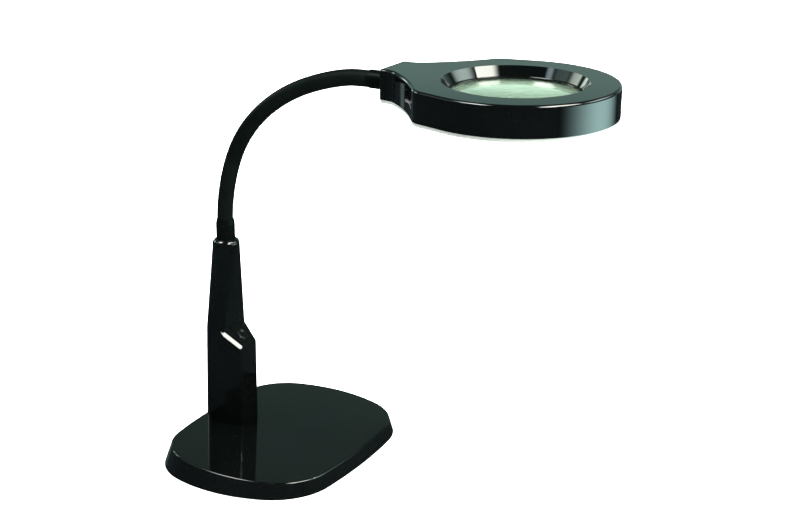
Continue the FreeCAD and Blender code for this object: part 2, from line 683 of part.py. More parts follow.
def make_switch():
    """A push button in the sloping facet, and the latching switch behind it."""
    turn = Rotation(UP, FACET_NORMAL)
    seat = Placement(FACET_CENTRE, turn)
    body = new_body("button")
    sketch = new_sketch(body, "button_profile", role="XZ_Plane")
    r, proud = dim("button_radius"), dim("button_proud")
    edge = 0.7
    skirt = -3.5
    flange = r + 1.1
    dish = 0.3
    draw_outline(sketch, [((0, skirt), (flange, skirt)), ((flange, skirt), (flange, skirt + 1.0)),
                          ((flange, skirt + 1.0), (r, skirt + 1.0)), ((r, skirt + 1.0), (r, proud - edge)),
                          ((r, proud - edge), (r - edge * 0.3, proud - edge * 0.3), (r - edge, proud)),
                          ((r - edge, proud), (r * 0.6, proud - dish)),
                          ((r * 0.6, proud - dish), (0, proud - dish)), ((0, proud - dish), (0, skirt))])
    revolve(body, sketch)
    hollow = new_sketch(body, "button_hollow", height=skirt)
    draw_circle(hollow, "dims.button_radius - 1.2")
    pocket(body, hollow, "3", flip=True, name="hollow")
    stem = new_sketch(body, "button_stem", height=-7.6)
    draw_circle(stem, "1.6")
    pad(body, stem, "7.4", name="stem")
    finish_node(body, "switch_button", seat)
    depth = 10.1
    half = 5.6
    case = box("switch_case", (-half, -half, -depth - 9.0), (half, half, -depth))
    plunger = cylinder("switch_plunger", 1.6, 0.8, (0, 0, -depth - 0.1))
    legs = [box(f"switch_leg_{i}", (x - 0.3, y - 0.8, -depth - 12.0), (x + 0.3, y + 0.8, -depth - 8.9))
            for i, (x, y) in enumerate([(-3, -3), (-3, 3), (3, -3), (3, 3)])]
    finish_node(fuse_all("switch_joined", [case, plunger] + legs), "push_switch", seat)


# ---------------------------------------------------------------- gooseneck

# The centre line leaves the post upwards and curves over to the head. It is cut into sections of
# one pitch, with half sections at the ends; these are the angles through which they turn.
NECK_TURNS = (7.38, 7.71, 12.16, 15.83, 11.32, 11.93, 8.24, 9.90, 6.48)


def neck_stations():
    """Start, heading and turn of each section of the gooseneck, in the XZ plane."""
    x, z, heading = dim("post_x"), dim("neck_start"), 0.0
    stations = []
    for i, turn in enumerate(NECK_TURNS):
        half = i in (0, len(NECK_TURNS) - 1)
        length = dim("neck_pitch") * (0.5 if half else 1.0)
        stations.append((x, z, heading, length, turn))
        radius = length / math.radians(turn)
        a0, a1 = math.radians(heading), math.radians(heading + turn)
        x += radius * (math.cos(a0) - math.cos(a1))
        z += radius * (math.sin(a1) - math.sin(a0))
        heading += turn
    stations.append((x, z, heading, 0.0, 0.0))
    return stations


STATIONS = neck_stations()


def yawed(frame):
    """A frame turned with the head about the vertical through the gooseneck's last hinge."""
    hinge = Vector(STATIONS[-2][0], 0, 0)
    turn = Rotation(dim("head_yaw"), 0, 0)
    return Placement(hinge - turn.multVec(hinge), turn).multiply(frame)


def heading_frame(station):
    x, z, heading = station[:3]
    return Placement(Vector(x, 0, z), Rotation(Vector(0, 1, 0), heading))


NECK_END = yawed(heading_frame(STATIONS[-1]))


def bent_tube(label, outer_from, inner_from, radius, angle, frame, backwards=False, tail=0.0):
    """A tube along a circular arc that starts in the frame's XY plane, with a straight tail if asked.

    A backwards tube has its arc below the frame's XY plane, and its tail above it.
    """
    body = new_body(label)
    sketch = new_sketch(body, label + "_end")
    draw_circle(sketch, outer_from)
    draw_circle(sketch, inner_from)
    hinge = sketch.addGeometry(Part.LineSegment(Vector(radius, -20, 0), Vector(radius, 20, 0)), True)
    sketch.addConstraint(Sketcher.Constraint("Vertical", hinge))
    bend = revolve(body, sketch, angle=angle, axis=(sketch, ["Axis0"]), name="bend")
    bend.Reversed = backwards
    doc.recompute()
    if tail:
        straight = new_sketch(body, label + "_tail")
        draw_circle(straight, outer_from)
        draw_circle(straight, inner_from)
        pad(body, straight, f"{tail}", down=not backwards, name="tail")
    return finish_node(body, label, frame)


LOWER_TAIL = 35.0           # how far the coil reaches down into the post's socket
UPPER_TAIL = 44.7           # how far it reaches into the head


def make_gooseneck():
    gap = dim("neck_gap")
    last = len(NECK_TURNS) - 1
    for i, (x, z, heading, length, turn) in enumerate(STATIONS[:-1]):
        radius = length / math.radians(turn)
        backwards = i == last
        skip = math.degrees(gap / 2 / radius)
        if backwards:
            x, z, heading = STATIONS[-1][:3]
            angle = turn - skip
        elif i == 0:
            angle = turn - skip
        else:
            a0, a1 = math.radians(heading), math.radians(heading + skip)
            x += radius * (math.cos(a0) - math.cos(a1))
            z += radius * (math.sin(a1) - math.sin(a0))
            heading += skip
            angle = turn - 2 * skip
        frame = Placement(Vector(x, 0, z), Rotation(Vector(0, 1, 0), heading))
        if i == last:
            frame = yawed(frame)
        tail = {0: LOWER_TAIL, last: UPPER_TAIL}.get(i, 0.0)
        bent_tube(f"gooseneck_sleeve_{i}", "dims.sleeve_radius", f"dims.coil_radius + {SHANK_FIT}",
                  radius, angle, frame, backwards)
        bent_tube(f"gooseneck_coil_{i}", "dims.coil_radius", "dims.coil_bore", radius, angle, frame,
                  backwards, tail)


def make_ferrules():
    """The metal collars at the gooseneck's two ends."""
    bore = dim("coil_radius") + SHANK_FIT
    wide = dim("collar_radius")
    reach = dim("neck_start") - dim("post_top")
    body = new_body("lower_ferrule")
    sketch = new_sketch(body, "lower_ferrule_profile", role="XZ_Plane")
    draw_outline(sketch, polygon([(bore, -5.0), (wide, -5.0), (wide, reach - 4.5), (wide - 0.7, reach),
                                  (bore, reach)]))
    revolve(body, sketch)
    finish_node(body, "lower_ferrule", Placement(Vector(dim("post_x"), 0, dim("post_top")), Rotation()))
    body = new_body("upper_ferrule")
    sketch = new_sketch(body, "upper_ferrule_profile", role="XZ_Plane")
    length = UPPER_FERRULE_LENGTH
    draw_outline(sketch, polygon([(bore, 0.0), (7.4, 0.0), (7.8, 1.2), (7.8, length), (bore, length)]))
    revolve(body, sketch)
    finish_node(body, "upper_ferrule", NECK_END)


UPPER_FERRULE_LENGTH = 22.7

# ---------------------------------------------------------------- head

HEAD_TURN = Rotation(dim("head_yaw"), dim("head_pitch"), dim("head_roll"))
NECK_AXIS = -13.9           # height of the gooseneck's axis from the head's top face
HEAD_FRAME = Placement(NECK_END.Base + HEAD_TURN.multVec(Vector(dim("head_reach"), 0, -NECK_AXIS)), HEAD_TURN)


def arc_points(cx, cy, radius, start, end):
    """An arc by its centre and its end angles in degrees, as three points."""
    angles = [math.radians(a) for a in (start, (start + end) / 2, end)]
    return tuple((cx + radius * math.cos(a), cy + radius * math.sin(a)) for a in angles)


SHOULDER_LEAN = 15.0        # slope of the shoulders towards the ring
NECK_RUN = -107.0           # where the neck's straight sides end
FLANK_START = 37.3          # slope at which the long hollow takes over


def heading_side(angle):
    """The unit vector to the left of a heading."""
    return Vector(-math.sin(angle), math.cos(angle), 0)


def teardrop(inset):
    """The head's plan: a ring, tangent shoulders, rounded horns, hollow flanks and the neck.

    The arcs of each side touch one another, so an inset outline keeps their centres.
    """
    ring = dim("ring_radius") - inset
    end = -dim("neck_end") + inset
    half = dim("neck_half") - inset
    lean = math.radians(SHOULDER_LEAN)
    # the neck's side turns outwards in a tight hollow
    near = dim("neck_hollow")
    near_centre = Vector(NECK_RUN, dim("neck_half") + near, 0)
    spread = math.radians(FLANK_START)
    # a long hollow carries it on to the horn, which ends on the shoulder
    far, horn = dim("flank_hollow"), dim("horn_radius")
    far_centre = near_centre + heading_side(spread) * (far - near)
    beyond = far_centre.dot(heading_side(lean)) - dim("ring_radius")
    flank_end = lean + math.acos((beyond + horn) / (far + horn))
    horn_centre = far_centre - heading_side(flank_end) * (far + horn)
    corner = max(3.0 - inset, 0.5)
    k = 1 - math.sqrt(0.5)

    def arc(centre, radius, start, stop):
        return tuple((p.x, p.y) for p in (centre + heading_side(angle) * radius
                                          for angle in (start, (start + stop) / 2, stop)))

    touch = (heading_side(lean) * ring)[:2]
    horn_arc = arc(horn_centre, horn - inset, lean, flank_end)
    flank_arc = arc(far_centre, -far - inset, flank_end, spread)
    neck_arc = arc(near_centre, -near - inset, spread, 0.0)
    upper = [
        (touch, horn_arc[0]),
        horn_arc,
        (horn_arc[2],) + flank_arc[1:],
        (flank_arc[2],) + neck_arc[1:],
        (neck_arc[2], (end + corner, half)),
        ((end + corner, half), (end + corner * k, half - corner * k), (end, half - corner)),
    ]
    shoulder_angle = 90.0 + SHOULDER_LEAN
    front = arc_points(0, 0, ring, -shoulder_angle, shoulder_angle)
    lower = [tuple((x, -y) for x, y in reversed(piece)) for piece in reversed(upper)]
    return [front] + upper + [((end, half - corner), (end, corner - half))] + lower


def on_circle(radius, angles):
    return [(radius * math.cos(math.radians(a)), radius * math.sin(math.radians(a))) for a in angles]


HEAD_SCREW_SPOTS = on_circle(75.6, (-75, -25, 25, 75)) + [(-69.0, -37.5), (-69.0, 37.5)]
RETAINER_SPOTS = on_circle(57.4, (45, 135, 225, 315))
BOARD_SPOTS = on_circle(dim("led_circle"), (0, 120, 240))
NECK_BLOCK = ((-103.5, -76.0), 8.8, (-22.7, -5.7))     # along X, half width, heights
ANCHOR_SPOTS = [(-97.0, 0.0), (-83.0, 0.0)]


def make_head_housing():
    """The black upper moulding, open below, with the cuff that holds the lens."""
    body = new_body("head_housing")
    height = dim("head_height")
    wall = dim("head_wall")
    outline = new_sketch(body, "housing_outline")
    draw_outline(outline, teardrop(0.0))
    pad(body, outline, "dims.head_height", down=True, name="outer")
    fillet_edges(body, level_edge(0.0), "dims.head_edge", "top_edge")
    inside = new_sketch(body, "housing_inside", height=-height, height_from="-dims.head_height")
    draw_outline(inside, teardrop(wall))
    pocket(body, inside, "dims.head_height - dims.head_wall", flip=True, name="inside")
    cuff = new_sketch(body, "cuff", height=-wall + 0.5)
    draw_circle(cuff, "dims.cuff_radius")
    pad(body, cuff, f"{CUFF_FOOT - wall + 0.5}", down=True, name="cuff")
    posts = new_sketch(body, "screw_posts", height=-wall + 0.5)
    for x, y in HEAD_SCREW_SPOTS:
        draw_circle(posts, "3.6", x, y)
    pad(body, posts, f"{SCREW_POST_FOOT - wall + 0.5}", down=True, name="screw_posts")
    seat = new_sketch(body, "anchor_seat", height=-wall + 0.5)
    (x0, x1), half, (z0, z1) = NECK_BLOCK
    draw_outline(seat, polygon([(x0 + 3, -half), (x1 - 3, -half), (x1 - 3, half), (x0 + 3, half)]))
    pad(body, seat, f"{-z1 - wall + 0.5 - 0.05}", down=True, name="anchor_seat")
    stands = new_sketch(body, "board_posts", height=-wall + 0.5)
    for x, y in BOARD_SPOTS:
        draw_circle(stands, "3", x, y)
    pad(body, stands, f"{dim('board_depth') - wall + 0.5 - 0.02}", down=True, name="board_posts")
    # the lens opening: a conical wall, a step, and the seat for the lens from below
    opening = new_sketch(body, "lens_opening", role="XZ_Plane")
    rim, foot, seen = dim("rim_radius"), dim("bezel_foot"), dim("lens_seen")
    bottom = -16.0
    draw_outline(opening, polygon([
        (0, 2), (rim + 2 * (rim - foot) / dim("bezel_depth"), 2), (foot, -dim("bezel_depth")),
        (seen, -dim("bezel_depth")), (seen, -dim("seat_depth")),
        (dim("lens_radius") + 0.2, -dim("seat_depth")), (dim("lens_radius") + 0.2, bottom), (0, bottom)]))
    revolve(body, opening, kind="PartDesign::Groove", name="lens_opening")
    mouth = new_sketch(body, "neck_mouth", role="YZ_Plane", height=-dim("neck_end") - 3.0)
    draw_circle(mouth, "8.1", 0.0, NECK_AXIS)
    pocket(body, mouth, "12", flip=True, name="neck_mouth")
    pilots = new_sketch(body, "pilots", height=-height)
    for x, y in HEAD_SCREW_SPOTS:
        draw_circle(pilots, f"{1.25 + SHANK_FIT}", x, y)
    pocket(body, pilots, "dims.head_height - 9", flip=True, name="screw_pilots")
    small = new_sketch(body, "small_pilots", height=-height)
    for x, y in BOARD_SPOTS:
        draw_circle(small, f"{1.0 + SHANK_FIT}", x, y)
    pocket(body, small, "12", flip=True, name="board_pilots")
    ring_pilots = new_sketch(body, "retainer_pilots", height=-height)
    for x, y in RETAINER_SPOTS:
        draw_circle(ring_pilots, f"{1.0 + SHANK_FIT}", x, y)
    pocket(body, ring_pilots, "16", flip=True, name="retainer_pilots")
    return finish_node(body, "head_housing", HEAD_FRAME)


CUFF_FOOT = 13.05           # depth of the lens cuff's lower end
SCREW_POST_FOOT = 21.3      # depth at which the housing's screw posts meet the cover's

def make_head_cover():
    """The white translucent moulding that closes the head from below."""
    body = new_body("head_cover")
    height = dim("head_height")
    plate_bottom = -height - dim("cover_height")
    outline = new_sketch(body, "cover_outline", height=plate_bottom,
                         height_from="-dims.head_height - dims.cover_height")
    draw_outline(outline, teardrop(0.5))
    pad(body, outline, "dims.cover_height - 0.05", name="rim")
    fillet_edges(body, level_edge(plate_bottom), "1", "lower_edge")
    lip = new_sketch(body, "cover_lip", height=-height - 0.5)
    draw_outline(lip, teardrop(dim("head_wall") + FREE_FIT))
    pad(body, lip, "2.5", name="lip")
    inside = new_sketch(body, "cover_inside", height=plate_bottom + dim("cover_plate"),
                        height_from="-dims.head_height - dims.cover_height + dims.cover_plate")
    draw_outline(inside, teardrop(dim("head_wall") + FREE_FIT + 1.4))
    pocket(body, inside, "8", flip=True, name="inside")
    posts = new_sketch(body, "cover_posts", height=plate_bottom + 0.5)
    for x, y in HEAD_SCREW_SPOTS:
        draw_circle(posts, "3.8", x, y)
    pad(body, posts, f"{-plate_bottom - 0.5 - SCREW_POST_FOOT - 0.1}", name="posts")
    well = new_sketch(body, "light_well", height=plate_bottom + 0.5)
    draw_circle(well, "dims.well_radius + 1.6")
    pad(body, well, "10.6", name="well_wall")
    hole = new_sketch(body, "well_hole", height=plate_bottom)
    draw_circle(hole, "dims.well_radius")
    pocket(body, hole, flip=True, name="well_hole")
    bores = new_sketch(body, "screw_bores", height=plate_bottom)
    for x, y in HEAD_SCREW_SPOTS:
        draw_circle(bores, f"{1.25 + SHANK_FIT}", x, y)
    pocket(body, bores, "12", flip=True, name="screw_bores")
    sinks = new_sketch(body, "screw_sinks", height=plate_bottom)
    for x, y in HEAD_SCREW_SPOTS:
        draw_circle(sinks, "2.7", x, y)
    pocket(body, sinks, "2.2", flip=True, name="screw_sinks")
    return finish_node(body, "head_cover", HEAD_FRAME)


LENS_TOP = dim("seat_depth") + 0.4      # depth of the lens's upper edge
RETAINER_TOP = LENS_TOP + dim("lens_edge") + 0.15
RETAINER_THICK = 1.8


def make_lens():
    """A biconvex lens with a short straight edge."""
    body = new_body("lens")
    sketch = new_sketch(body, "lens_profile", role="XZ_Plane")
    r, bulge, edge = dim("lens_radius"), dim("lens_bulge"), dim("lens_edge")
    top = -LENS_TOP

    def rise(x):
        return math.sqrt(bulge ** 2 - x ** 2) - math.sqrt(bulge ** 2 - r ** 2)

    upper = ((r, top), (r / 2, top + rise(r / 2)), (0, top + rise(0)))
    lower = ((0, top - edge - rise(0)), (r / 2, top - edge - rise(r / 2)), (r, top - edge))
    draw_outline(sketch, [upper, (upper[2], lower[0]), lower, (lower[2], upper[0])])
    revolve(body, sketch)
    return finish_node(body, "lens", HEAD_FRAME)


def make_ring(label, inner_from, outer_from, top, thickness_from, holes=()):
    body = new_body(label)
    sketch = new_sketch(body, label + "_outline", height=top)
    draw_circle(sketch, outer_from)
    draw_circle(sketch, inner_from)
    pad(body, sketch, thickness_from, down=True)
    if holes:
        drill = new_sketch(body, label + "_holes", height=top)
        for radius, x, y in holes:
            draw_circle(drill, radius, x, y)
        pocket(body, drill, name="holes")
    return finish_node(body, label, HEAD_FRAME)


def make_leds():
    """Surface-mount LEDs round the board, facing down."""
    boxes = []
    face = -dim("board_depth") - dim("board_thick") - 0.02
    for i in range(36):
        angle = 5 + 10 * i
        led = doc.addObject("Part::Box", f"led_{i}")
        led.Length, led.Width, led.Height = 2.8, 3.5, 1.5
        turn = Rotation(UP, angle)
        corner = turn.multVec(Vector(dim("led_circle") - 1.4, -1.75, face - 1.5))
        led.Placement = Placement(corner, turn)
        boxes.append(led)
    group = doc.addObject("Part::Compound", "led_group")
    group.Links = boxes
    finish_node(group, "leds", HEAD_FRAME)


def make_neck_anchor():
    """The cast block inside the head's neck that grips the gooseneck's upper end."""
    (x0, x1), half, (z0, z1) = NECK_BLOCK
    block = box("anchor_block", (x0, -half, z0), (x1, half, z1))
    bore = cylinder("anchor_bore", f"dims.coil_radius + {SHANK_FIT}", 24.0, (x0 - 1, 0, NECK_AXIS), (1, 0, 0))
    pilots = [cylinder(f"anchor_pilot_{i}", 1.5 + SHANK_FIT, 30.0, (x, y, z0 - 1), UP)
              for i, (x, y) in enumerate(ANCHOR_SPOTS)]
    finish_node(boolean("Cut", "anchor_cut", block, fuse_all("anchor_tools", [bore] + pilots)),
                "neck_anchor", HEAD_FRAME)
    screw_group("anchor_screws", [(x, y, z0 + 0.4) for x, y in ANCHOR_SPOTS], UP, 1.5, 2.6, 1.5, 1.0,
                placement=HEAD_FRAME)


def make_head():
    make_head_housing()
    make_head_cover()
    make_lens()
    make_ring("lens_retainer", "dims.lens_seen + 1.5", "dims.cuff_radius - 0.4", -RETAINER_TOP,
              f"{RETAINER_THICK}", [(f"{1.0 + SHANK_FIT}", x, y) for x, y in RETAINER_SPOTS])
    make_ring("led_board", "dims.board_inner", "dims.board_outer", -dim("board_depth"),
              "dims.board_thick", [(f"{1.0 + SHANK_FIT}", x, y) for x, y in BOARD_SPOTS])
    make_leds()
    make_neck_anchor()
    cover_bottom = -dim("head_height") - dim("cover_height")
    screw_group("head_screws", [(x, y, cover_bottom + 0.5) for x, y in HEAD_SCREW_SPOTS], UP, 1.25, 11.0,
                2.4, 1.6, placement=HEAD_FRAME)
    retainer_bottom = -RETAINER_TOP - RETAINER_THICK - 0.02
    screw_group("retainer_screws", [(x, y, retainer_bottom - 1.2) for x, y in RETAINER_SPOTS], UP, 1.0,
                5.6, 2.0, 1.15, placement=HEAD_FRAME)
    board_bottom = -dim("board_depth") - dim("board_thick") - 0.02
    screw_group("board_screws", [(x, y, board_bottom - 1.2) for x, y in BOARD_SPOTS], UP, 1.0, 6.0, 2.0,
                1.15, placement=HEAD_FRAME)


# ---------------------------------------------------------------- build, check, write

make_base()
make_jack()
make_post_shells()
make_spine()
make_socket()
make_switch()
make_gooseneck()
make_ferrules()
make_head()
doc.recompute()

for obj in doc.Objects:
    if "Invalid" in obj.State or "Error" in obj.State:
        raise RuntimeError(f"{obj.Name} ({obj.Label}) failed: {obj.State}")
for node in nodes:
    if node.Shape.isNull() or not node.Shape.isValid() or not node.Shape.Solids:
        raise RuntimeError(f"{node.Label}: no valid solid")

os.makedirs("parts", exist_ok=True)
for node in nodes:
    node.Shape.exportStep(os.path.join("parts", node.Label + ".step"))
print(len(nodes), "nodes written")
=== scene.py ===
import json
import math

import bpy
import numpy as np
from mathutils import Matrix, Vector

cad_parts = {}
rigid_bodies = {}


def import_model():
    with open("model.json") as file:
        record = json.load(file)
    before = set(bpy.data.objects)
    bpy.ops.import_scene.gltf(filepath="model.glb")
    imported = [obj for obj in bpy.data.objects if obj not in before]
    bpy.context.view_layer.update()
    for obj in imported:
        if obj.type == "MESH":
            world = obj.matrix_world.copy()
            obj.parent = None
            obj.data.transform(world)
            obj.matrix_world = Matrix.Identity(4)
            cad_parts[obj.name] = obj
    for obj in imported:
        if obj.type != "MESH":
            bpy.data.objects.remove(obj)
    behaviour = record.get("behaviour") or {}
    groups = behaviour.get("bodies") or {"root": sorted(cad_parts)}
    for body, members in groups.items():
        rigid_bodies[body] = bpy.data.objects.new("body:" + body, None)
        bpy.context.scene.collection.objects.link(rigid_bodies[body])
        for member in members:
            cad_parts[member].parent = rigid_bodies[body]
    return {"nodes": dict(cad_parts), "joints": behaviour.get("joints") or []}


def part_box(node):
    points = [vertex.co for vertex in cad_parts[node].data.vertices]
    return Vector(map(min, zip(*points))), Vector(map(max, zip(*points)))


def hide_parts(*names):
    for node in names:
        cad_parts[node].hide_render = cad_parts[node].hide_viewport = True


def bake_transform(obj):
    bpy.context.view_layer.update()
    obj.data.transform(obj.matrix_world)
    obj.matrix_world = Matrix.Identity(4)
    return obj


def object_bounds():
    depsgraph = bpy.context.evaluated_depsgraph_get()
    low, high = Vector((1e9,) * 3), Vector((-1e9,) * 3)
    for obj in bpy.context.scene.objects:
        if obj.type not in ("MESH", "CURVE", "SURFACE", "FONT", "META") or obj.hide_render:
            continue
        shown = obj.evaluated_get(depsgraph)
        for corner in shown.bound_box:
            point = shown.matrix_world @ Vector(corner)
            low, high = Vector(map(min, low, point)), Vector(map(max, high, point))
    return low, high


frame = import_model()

NODES = frame["nodes"]
CAD_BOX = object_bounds()


# ---------------------------------------------------------------- node helpers

class Shader:
    """A Principled material with short calls for its procedural nodes."""

    def __init__(self, name, coords="Object"):
        self.material = bpy.data.materials.new(name)
        self.material.use_nodes = True
        self.tree = self.material.node_tree
        self.surface = self.tree.nodes["Principled BSDF"]
        self.coords = self.tree.nodes.new("ShaderNodeTexCoord").outputs[coords]

    def node(self, kind, **settings):
        made = self.tree.nodes.new(kind)
        for key, value in settings.items():
            setattr(made, key, value)
        return made

    def link(self, source, target):
        self.tree.links.new(source, target)

    def feed(self, socket, value):
        """Sets an input, or links it when the value is another node's output."""
        if isinstance(value, bpy.types.NodeSocket):
            self.link(value, socket)
        else:
            socket.default_value = value

    def constants(self, **values):
        """Numbers and colours that are the same all over the surface."""
        for key, value in values.items():
            self.surface.inputs[key.replace("_", " ")].default_value = value

    def drive(self, name, value):
        self.link(value, self.surface.inputs[name])

    def stretched(self, x, y, z):
        """The texture coordinates scaled along each axis, for brushed and drawn marks."""
        mapping = self.node("ShaderNodeMapping")
        mapping.inputs["Scale"].default_value = (x, y, z)
        self.link(self.coords, mapping.inputs["Vector"])
        return mapping.outputs["Vector"]

    def noise(self, scale, detail=3.0, roughness=0.5, distortion=0.0, vector=None):
        n = self.node("ShaderNodeTexNoise")
        self.link(vector or self.coords, n.inputs["Vector"])
        n.inputs["Scale"].default_value = scale
        n.inputs["Detail"].default_value = detail
        n.inputs["Roughness"].default_value = roughness
        n.inputs["Distortion"].default_value = distortion
        return n.outputs["Fac"]

    def cells(self, scale, feature="F1"):
        n = self.node("ShaderNodeTexVoronoi", feature=feature)
        self.link(self.coords, n.inputs["Vector"])
        n.inputs["Scale"].default_value = scale
        return n.outputs

    def math(self, operation, a, b=0.0):
        n = self.node("ShaderNodeMath", operation=operation)
        self.feed(n.inputs[0], a)
        self.feed(n.inputs[1], b)
        return n.outputs[0]

    def spread(self, value, low, high, out_low=0.0, out_high=1.0):
        """Maps low..high smoothly to out_low..out_high."""
        n = self.node("ShaderNodeMapRange", interpolation_type="SMOOTHSTEP")
        self.feed(n.inputs["Value"], value)
        for key, number in zip(("From Min", "From Max", "To Min", "To Max"),
                               (low, high, out_low, out_high)):
            n.inputs[key].default_value = number
        return n.outputs["Result"]

    def band(self, value, start, full, last, end):
        """Rises from start to full and falls from last to end."""
        rise = self.spread(value, start, full)
        fall = self.spread(value, last, end, 1.0, 0.0)
        return self.math("MULTIPLY", rise, fall)

    def mix(self, factor, a, b):
        n = self.node("ShaderNodeMix", data_type="RGBA")
        self.feed(n.inputs["Factor"], factor)
        self.feed(n.inputs[6], a if isinstance(a, bpy.types.NodeSocket) else (*a, 1.0))
        self.feed(n.inputs[7], b if isinstance(b, bpy.types.NodeSocket) else (*b, 1.0))
        return n.outputs[2]

    def bump(self, *layers):
        """Stacks (height, strength, distance) layers and drives the shader's normal."""
        normal = None
        for height, strength, distance in layers:
            n = self.node("ShaderNodeBump")
            n.inputs["Strength"].default_value = strength
            n.inputs["Distance"].default_value = distance
            self.link(height, n.inputs["Height"])
            if normal is not None:
                self.link(normal, n.inputs["Normal"])
            normal = n.outputs["Normal"]
        self.drive("Normal", normal)

    def dust(self, scale, size, share):
        """Sparse round specks: 1 inside a speck, 0 elsewhere."""
        cells = self.cells(scale)
        chosen = self.math("GREATER_THAN", self.split_red(cells["Color"]), 1.0 - share)
        near = self.spread(cells["Distance"], size * 0.6, size, 1.0, 0.0)
        return self.math("MULTIPLY", chosen, near)

    def split_red(self, colour):
        n = self.node("ShaderNodeSeparateColor")
        self.link(colour, n.inputs[0])
        return n.outputs[0]


# ------------------------------------------------------------------- materials

def gloss_plastic(name, dark, light, roughness):
    """Polished moulded plastic: faint orange peel, wiped smears, hairlines and a little dust."""
    s = Shader(name)
    tone = s.spread(s.noise(9.0, 2.0), 0.3, 0.7)
    speck = s.dust(700.0, 0.13, 0.05)
    s.drive("Base Color", s.mix(speck, s.mix(tone, dark, light), (0.03, 0.032, 0.031)))
    smear = s.spread(s.noise(26.0, 4.0, 0.6, 1.2, s.stretched(1.0, 0.35, 1.0)), 0.45, 0.8,
                     roughness, roughness + 0.05)
    hairline = s.spread(s.noise(260.0, 2.0, 0.5, 0.4, s.stretched(1.0, 0.04, 0.3)), 0.68, 0.8,
                        0.0, 0.05)
    s.drive("Roughness", s.math("ADD", s.math("ADD", smear, hairline), s.math("MULTIPLY", speck, 0.4)))
    s.bump((s.noise(210.0, 1.0), 0.12, 0.00002), (s.noise(2600.0, 2.0), 0.05, 0.000006))
    s.constants(IOR=1.47)
    return s.material


def sleeve_rubber(name):
    """Satin sleeve over the wound neck: soft rings, fine grain and lint, laid out by the tube's UV map."""
    s = Shader(name, "UV")
    grain = s.noise(900.0, 4.0, 0.65)
    patch = s.spread(s.noise(22.0, 3.0), 0.3, 0.7)
    lint = s.dust(420.0, 0.12, 0.04)
    shade = s.mix(patch, (0.0010, 0.0018, 0.0017), (0.0020, 0.0031, 0.0029))
    s.drive("Base Color", s.mix(lint, shade, (0.03, 0.031, 0.03)))
    s.drive("Roughness", s.math("ADD", s.spread(patch, 0.0, 1.0, 0.36, 0.46),
                                s.math("MULTIPLY", grain, 0.12)))
    wave = s.node("ShaderNodeTexWave", wave_type="BANDS", bands_direction="X")
    s.link(s.coords, wave.inputs["Vector"])
    wave.inputs["Scale"].default_value = 120.0
    wave.inputs["Distortion"].default_value = 0.3
    s.bump((wave.outputs["Fac"], 0.10, 0.00015), (grain, 0.25, 0.00003))
    s.constants(Specular_IOR_Level=0.04, Specular_Tint=(0.7, 1.0, 0.95, 1.0))
    return s.material


def matte_plastic(name, dark, light, roughness, **constants):
    """Moulded plastic with a fine spark texture."""
    s = Shader(name)
    patch = s.spread(s.noise(30.0, 3.0), 0.3, 0.7)
    grain = s.noise(1500.0, 3.0, 0.6)
    speck = s.dust(500.0, 0.12, 0.03)
    shade = s.mix(patch, dark, light)
    s.drive("Base Color", s.mix(s.math("MULTIPLY", speck, 0.15), shade, (0.25, 0.24, 0.22)))
    s.drive("Roughness", s.spread(grain, 0.2, 0.8, roughness - 0.06, roughness + 0.06))
    s.bump((grain, 0.3, 0.00003), (s.noise(180.0, 2.0), 0.1, 0.00003))
    s.constants(**constants)
    return s.material


def plated_metal(name, dark, light, roughness, brushed=(1.0, 1.0, 1.0)):
    """Bare or plated metal with drawn marks, mottled plating and small stains."""
    s = Shader(name)
    mottled = s.spread(s.noise(140.0, 4.0, 0.6), 0.3, 0.7)
    stain = s.spread(s.noise(35.0, 5.0, 0.6, 0.8), 0.58, 0.75)
    drawn = s.noise(900.0, 3.0, 0.6, 0.0, s.stretched(*brushed))
    s.drive("Base Color", s.mix(s.math("MULTIPLY", stain, 0.4), s.mix(mottled, dark, light),
                                tuple(v * 0.55 for v in dark)))
    s.drive("Roughness", s.math("ADD", s.spread(drawn, 0.2, 0.8, roughness - 0.06, roughness + 0.08),
                                s.math("MULTIPLY", stain, 0.15)))
    s.bump((drawn, 0.25, 0.00003))
    s.constants(Metallic=1.0)
    return s.material


def cast_metal(name, dark, light, roughness, metallic):
    """Cast metal: coarse sandy skin with darker pits."""
    s = Shader(name)
    lumps = s.noise(420.0, 5.0, 0.65)
    pits = s.spread(s.cells(520.0)["Distance"], 0.0, 0.35)
    s.drive("Base Color", s.mix(s.math("MULTIPLY", lumps, pits), dark, light))
    s.drive("Roughness", s.spread(lumps, 0.2, 0.8, roughness - 0.1, roughness + 0.1))
    s.bump((lumps, 0.5, 0.0002), (pits, 0.35, 0.00012))
    s.constants(Metallic=metallic)
    return s.material


def rubber(name):
    """Foamed non-slip sheet: open cells and scuffs."""
    s = Shader(name)
    cells = s.spread(s.cells(900.0)["Distance"], 0.1, 0.6)
    scuff = s.spread(s.noise(60.0, 5.0, 0.7, 1.0), 0.55, 0.75)
    worn = s.math("MULTIPLY", scuff, 0.5)
    s.drive("Base Color", s.mix(worn, (0.018, 0.018, 0.019), (0.075, 0.073, 0.07)))
    s.drive("Roughness", s.spread(scuff, 0.0, 1.0, 0.95, 0.8))
    s.bump((cells, 0.5, 0.0002), (s.noise(2200.0, 2.0), 0.3, 0.00005))
    return s.material


